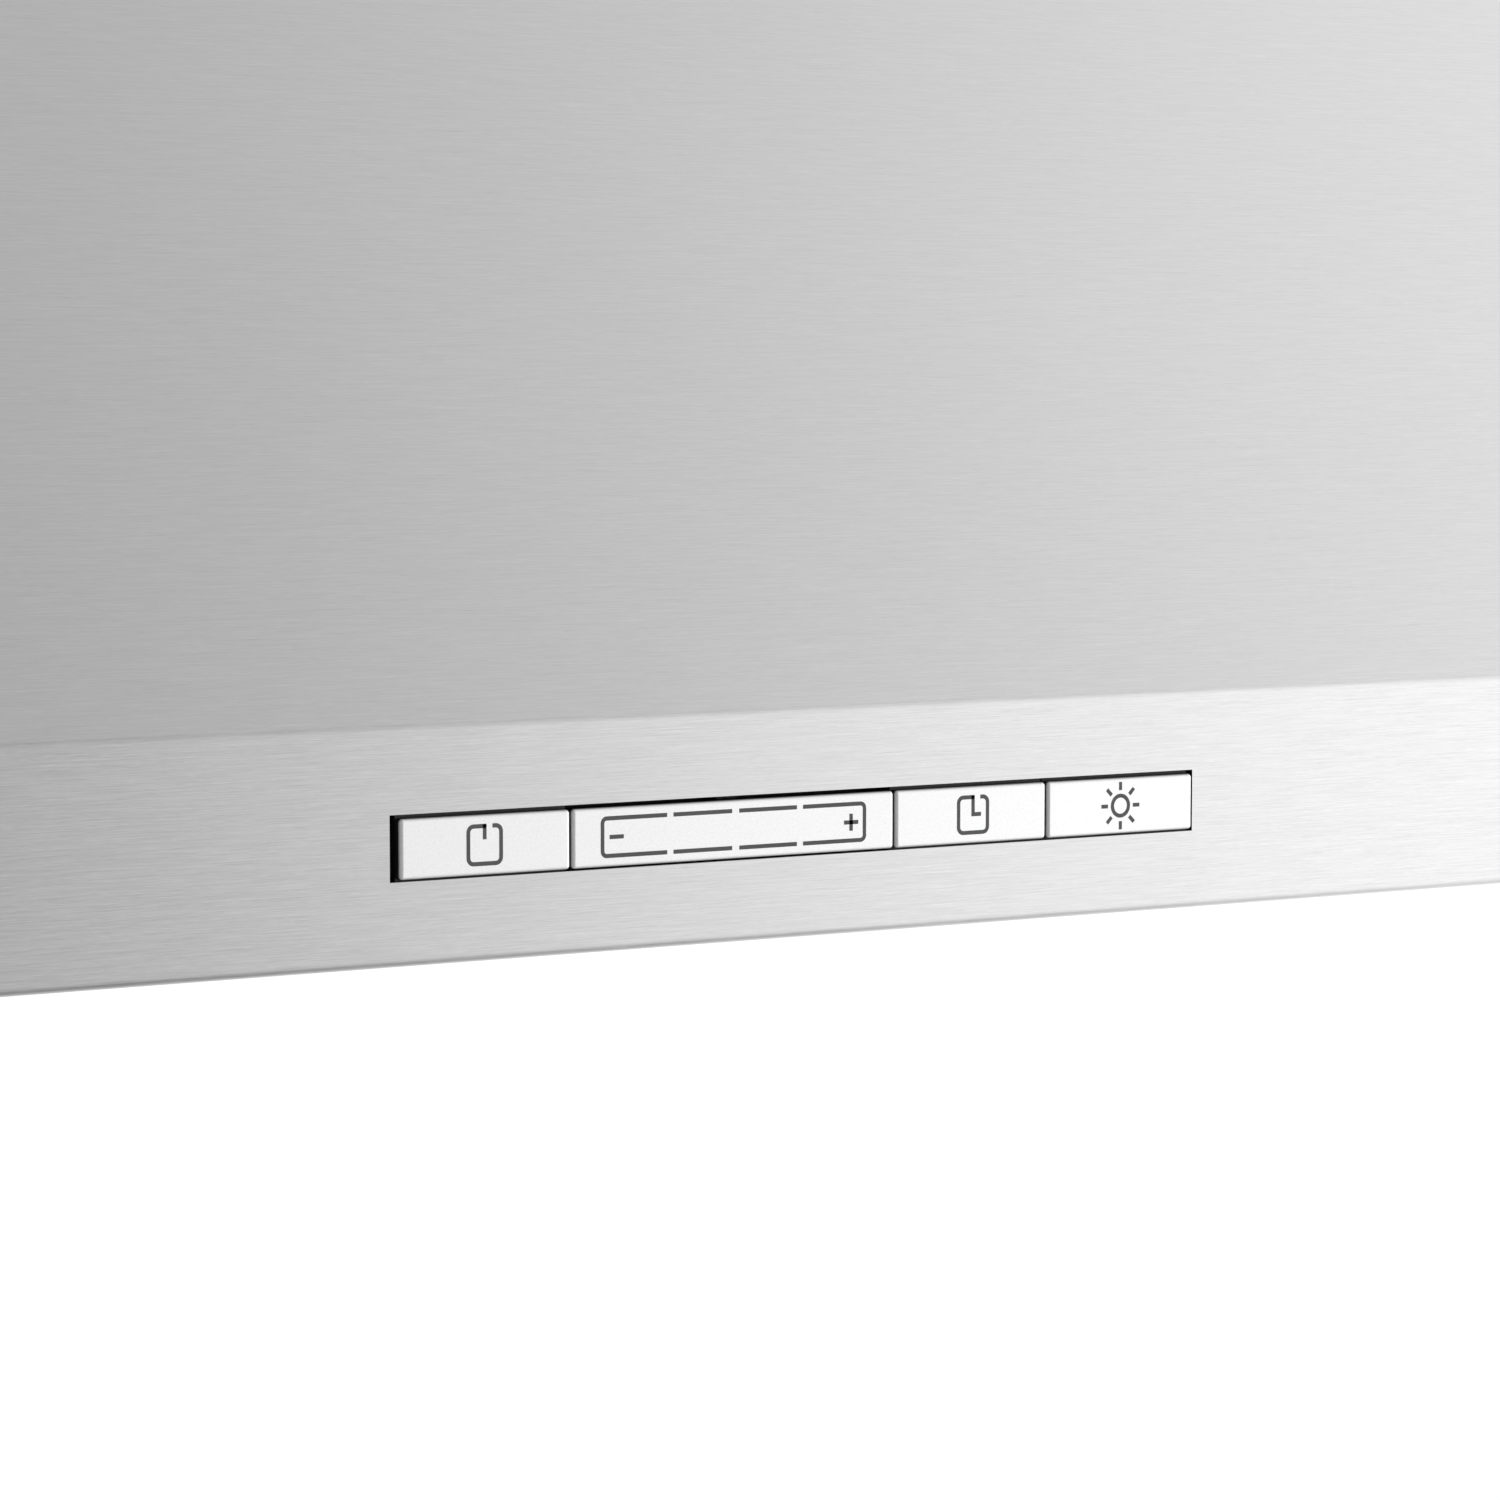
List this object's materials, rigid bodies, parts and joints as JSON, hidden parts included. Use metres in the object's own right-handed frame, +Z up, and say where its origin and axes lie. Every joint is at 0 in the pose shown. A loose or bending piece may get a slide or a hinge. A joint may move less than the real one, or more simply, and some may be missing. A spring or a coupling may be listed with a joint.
{
  "type": "under cabinet range hood",
  "caption": "Wide brushed steel range hood with a sloped front, a button strip on its upright band, lift-out baffle filters, round lamps and a top duct collar with a damper.",
  "frame": {"origin": "on the cabinet plane (the top face), at the wall, on the centre line", "axes": "+X to the right of the cook, along the front; +Y towards the wall; +Z up"},
  "size_m": [0.759, 0.509, 0.274],
  "materials": {
    "body_steel": "horizontally brushed stainless",
    "liner_steel": "galvanised sheet",
    "pan_steel": "horizontally brushed stainless",
    "filter_steel": "brushed stainless",
    "spring_steel": "bright plated steel",
    "flap_aluminium": "plain",
    "bezel_chrome": "polished",
    "lamp_lens": "frosted",
    "lamp_can": "die cast",
    "wheel_plastic": "moulded",
    "motor_paint": "satin",
    "iron_core": "laminated",
    "bearing_bronze": "sintered",
    "button_silver": "satin silver",
    "black_plastic": "moulded",
    "mat_rubber": "moulded",
    "board_green": "lacquered board",
    "clamp_plastic": "moulded",
    "capacitor_shell": "moulded",
    "lead_sheath": "grey PVC"
  },
  "bodies": {
    "hood": {"back_panel": "liner_steel", "blank_screws": "spring_steel", "blower_screws": "spring_steel", "bottom_pan": "pan_steel", "button_carrier": "black_plastic", "cable_clamp": "clamp_plastic", "canopy": "body_steel", "capacitor_clip": "liner_steel", "control_board": "board_green", "control_cover": "black_plastic", "control_lead": "lead_sheath", "damper_pin": "spring_steel", "duct_connector": "liner_steel", "junction_box": "liner_steel", "junction_cover": "liner_steel", "keypad_mat": "mat_rubber", "led_driver": "black_plastic", "left_bearing": "bearing_bronze", "left_end_panel": "body_steel", "left_lamp_bezel": "bezel_chrome", "left_lamp_can": "lamp_can", "left_lamp_lead": "lead_sheath", "left_lamp_lens": "lamp_lens", "left_scroll": "liner_steel", "motor_bracket": "liner_steel", "motor_cap": "motor_paint", "motor_case": "motor_paint", "motor_lead": "lead_sheath", "outlet_frame": "liner_steel", "pan_screws": "spring_steel", "rear_duct_cover": "liner_steel", "right_bearing": "bearing_bronze", "right_end_panel": "body_steel", "right_lamp_bezel": "bezel_chrome", "right_lamp_can": "lamp_can", "right_lamp_lead": "lead_sheath", "right_lamp_lens": "lamp_lens", "right_scroll": "liner_steel", "run_capacitor": "capacitor_shell", "stator": "iron_core", "terminal_block": "black_plastic", "top_panel": "liner_steel"},
    "power_button": {"power_button": "button_silver"},
    "speed_rocker": {"speed_rocker": "button_silver"},
    "timer_button": {"timer_button": "button_silver"},
    "light_button": {"light_button": "button_silver"},
    "left_filter": {"left_filter_frame": "filter_steel", "left_filter_baffles": "filter_steel", "left_filter_handle": "filter_steel", "left_filter_clip": "spring_steel"},
    "right_filter": {"right_filter_frame": "filter_steel", "right_filter_baffles": "filter_steel", "right_filter_handle": "filter_steel", "right_filter_clip": "spring_steel"},
    "front_flap": {"damper_front_flap": "flap_aluminium"},
    "rear_flap": {"damper_rear_flap": "flap_aluminium"},
    "rotor": {"motor_shaft": "spring_steel", "rotor_core": "iron_core", "left_impeller": "wheel_plastic", "right_impeller": "wheel_plastic"}
  },
  "joints": [
    {"name": "power_press", "type": "slide", "parent": "hood", "child": "power_button", "axis": [0, 1, 0], "range_m": [0, 0.001], "stiffness_N_per_m": 1500},
    {"name": "speed_rock", "type": "hinge", "parent": "hood", "child": "speed_rocker", "pos_m": [-0.02, -0.504, -0.20525], "axis": [0, 0, 1], "range_deg": [-1.2, 1.2], "stiffness_Nm_per_rad": 1.4},
    {"name": "timer_press", "type": "slide", "parent": "hood", "child": "timer_button", "axis": [0, 1, 0], "range_m": [0, 0.001], "stiffness_N_per_m": 1500},
    {"name": "light_press", "type": "slide", "parent": "hood", "child": "light_button", "axis": [0, 1, 0], "range_m": [0, 0.001], "stiffness_N_per_m": 1500},
    {"name": "left_filter_swing", "type": "hinge", "parent": "hood", "child": "left_filter", "pos_m": [-0.17425, -0.052, -0.205], "axis": [1, 0, 0], "range_deg": [0, 40], "deforming": ["left_filter_clip"]},
    {"name": "right_filter_swing", "type": "hinge", "parent": "hood", "child": "right_filter", "pos_m": [0.17425, -0.052, -0.205], "axis": [1, 0, 0], "range_deg": [0, 40], "deforming": ["right_filter_clip"]},
    {"name": "front_flap_swing", "type": "hinge", "parent": "hood", "child": "front_flap", "pos_m": [0, -0.072, 0.004], "axis": [-1, 0, 0], "range_deg": [0, 78]},
    {"name": "rear_flap_swing", "type": "hinge", "parent": "hood", "child": "rear_flap", "pos_m": [0, -0.072, 0.004], "axis": [1, 0, 0], "range_deg": [0, 78]},
    {"name": "rotor_spin", "type": "hinge", "parent": "hood", "child": "rotor", "pos_m": [0, -0.1197, -0.108], "axis": [1, 0, 0], "continuous": true}
  ]
}
